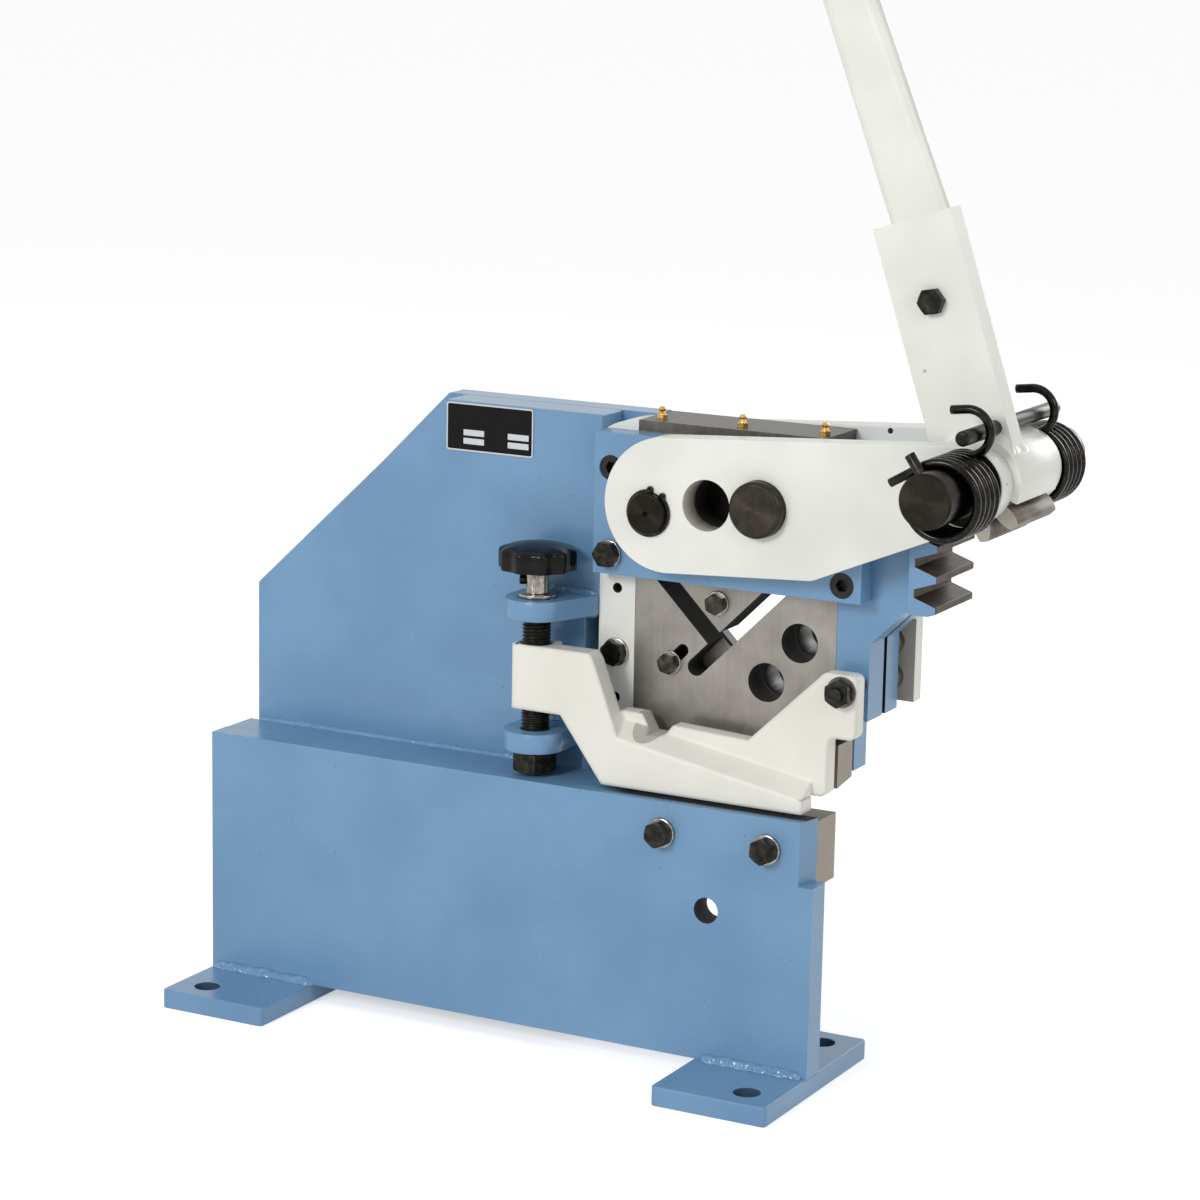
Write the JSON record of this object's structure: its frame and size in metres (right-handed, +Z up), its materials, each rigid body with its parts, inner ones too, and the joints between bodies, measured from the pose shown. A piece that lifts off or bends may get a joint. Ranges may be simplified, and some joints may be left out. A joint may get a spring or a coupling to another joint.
{
  "type": "hand lever shear",
  "caption": "Bench-standing hand lever shear with rack-and-pinion lever, raked blades, angle and round-bar openings and a screw hold-down.",
  "frame": {"origin": "middle of the four foot holes, on the floor plane under the feet", "axes": "+X to the right along the base plate, +Y to the rear, +Z up"},
  "size_m": [0.6025, 0.248, 1.3658],
  "materials": {
    "blue_enamel": "semi-gloss blue enamel",
    "white_enamel": "semi-gloss off-white enamel",
    "ground_steel": "ground tool steel",
    "raw_steel": "milled steel, oiled",
    "black_oxide": "black oxide",
    "bright_steel": "plain machined steel",
    "brass": "turned brass",
    "knob_plastic": "glossy black moulding",
    "plug_plastic": "matt black moulding"
  },
  "bodies": {
    "frame": {"left_foot": "blue_enamel", "right_foot": "blue_enamel", "base_plate": "blue_enamel", "lower_blade": "ground_steel", "lower_blade_bolts": "black_oxide", "lower_blade_washers": "black_oxide", "ledge_block": "blue_enamel", "body_plate": "blue_enamel", "main_plate": "blue_enamel", "guide_gib": "white_enamel", "gib_bolt": "black_oxide", "gib_washer": "black_oxide", "guide_column": "blue_enamel", "column_screws": "black_oxide", "die_plate": "ground_steel", "cover_plate": "blue_enamel", "cover_bolt": "black_oxide", "cover_washer": "black_oxide", "cover_screws": "black_oxide", "top_bridge": "black_oxide", "grease_nipples": "brass", "rack": "raw_steel", "upper_eye": "blue_enamel", "lower_eye": "blue_enamel", "pivot_pin": "black_oxide", "pivot_rings": "black_oxide", "hold_stud": "black_oxide", "hold_washers": "black_oxide", "hold_nut": "black_oxide", "rear_guide": "white_enamel", "rear_guide_spacers": "black_oxide", "rear_guide_bolts": "black_oxide"},
    "slide": {"slide_plate": "ground_steel", "upper_blade": "ground_steel", "upper_blade_screws": "black_oxide", "knife_bolts": "bright_steel", "knife_washers": "bright_steel"},
    "arms": {"front_arm": "white_enamel", "rear_arm": "white_enamel", "drive_pin": "black_oxide", "toggle_shaft": "black_oxide", "cross_pins": "black_oxide", "front_spring": "black_oxide", "rear_spring": "black_oxide"},
    "handle": {"hub": "white_enamel", "pinion_segment": "raw_steel", "lever_plate": "white_enamel", "anchor_rod": "bright_steel", "handle_tube": "white_enamel", "handle_bolt": "black_oxide", "handle_nut": "black_oxide", "tube_plug": "plug_plastic"},
    "hold_down": {"hold_down": "white_enamel"},
    "spindle": {"spindle": "black_oxide", "star_knob": "knob_plastic", "knob_collar": "black_oxide", "spindle_nut": "black_oxide"}
  },
  "joints": [
    {"name": "arm_swing", "type": "hinge", "parent": "frame", "child": "arms", "pos_m": [0.105, 0, 0.3855], "axis": [0, 1, 0], "range_deg": [0, 14]},
    {"name": "slide_travel", "type": "slide", "parent": "frame", "child": "slide", "axis": [0, 0, -1], "range_m": [0, 0.0202]},
    {"name": "handle_swing", "type": "hinge", "parent": "arms", "child": "handle", "pos_m": [0.3315, 0, 0.4255], "axis": [0, 1, 0], "range_deg": [0, 84.4], "stiffness_Nm_per_rad": 16, "deforming": ["front_spring", "rear_spring"]},
    {"name": "knob_turn", "type": "hinge", "parent": "frame", "child": "spindle", "pos_m": [0.0156, 0.004, 0.3], "axis": [0, 0, -1], "range_deg": [0, 1443]},
    {"name": "hold_down_tilt", "type": "hinge", "parent": "frame", "child": "hold_down", "pos_m": [0.24532, 0, 0.2775], "axis": [0, 1, 0], "range_deg": [0, 2.5]}
  ],
  "couplings": [
    {"joint": "slide_travel", "follows": "arm_swing", "m_per_rad": 0.082524},
    {"joint": "handle_swing", "follows": "arm_swing", "ratio": 6.0223},
    {"joint": "hold_down_tilt", "follows": "knob_turn", "ratio": 0.001732}
  ]
}
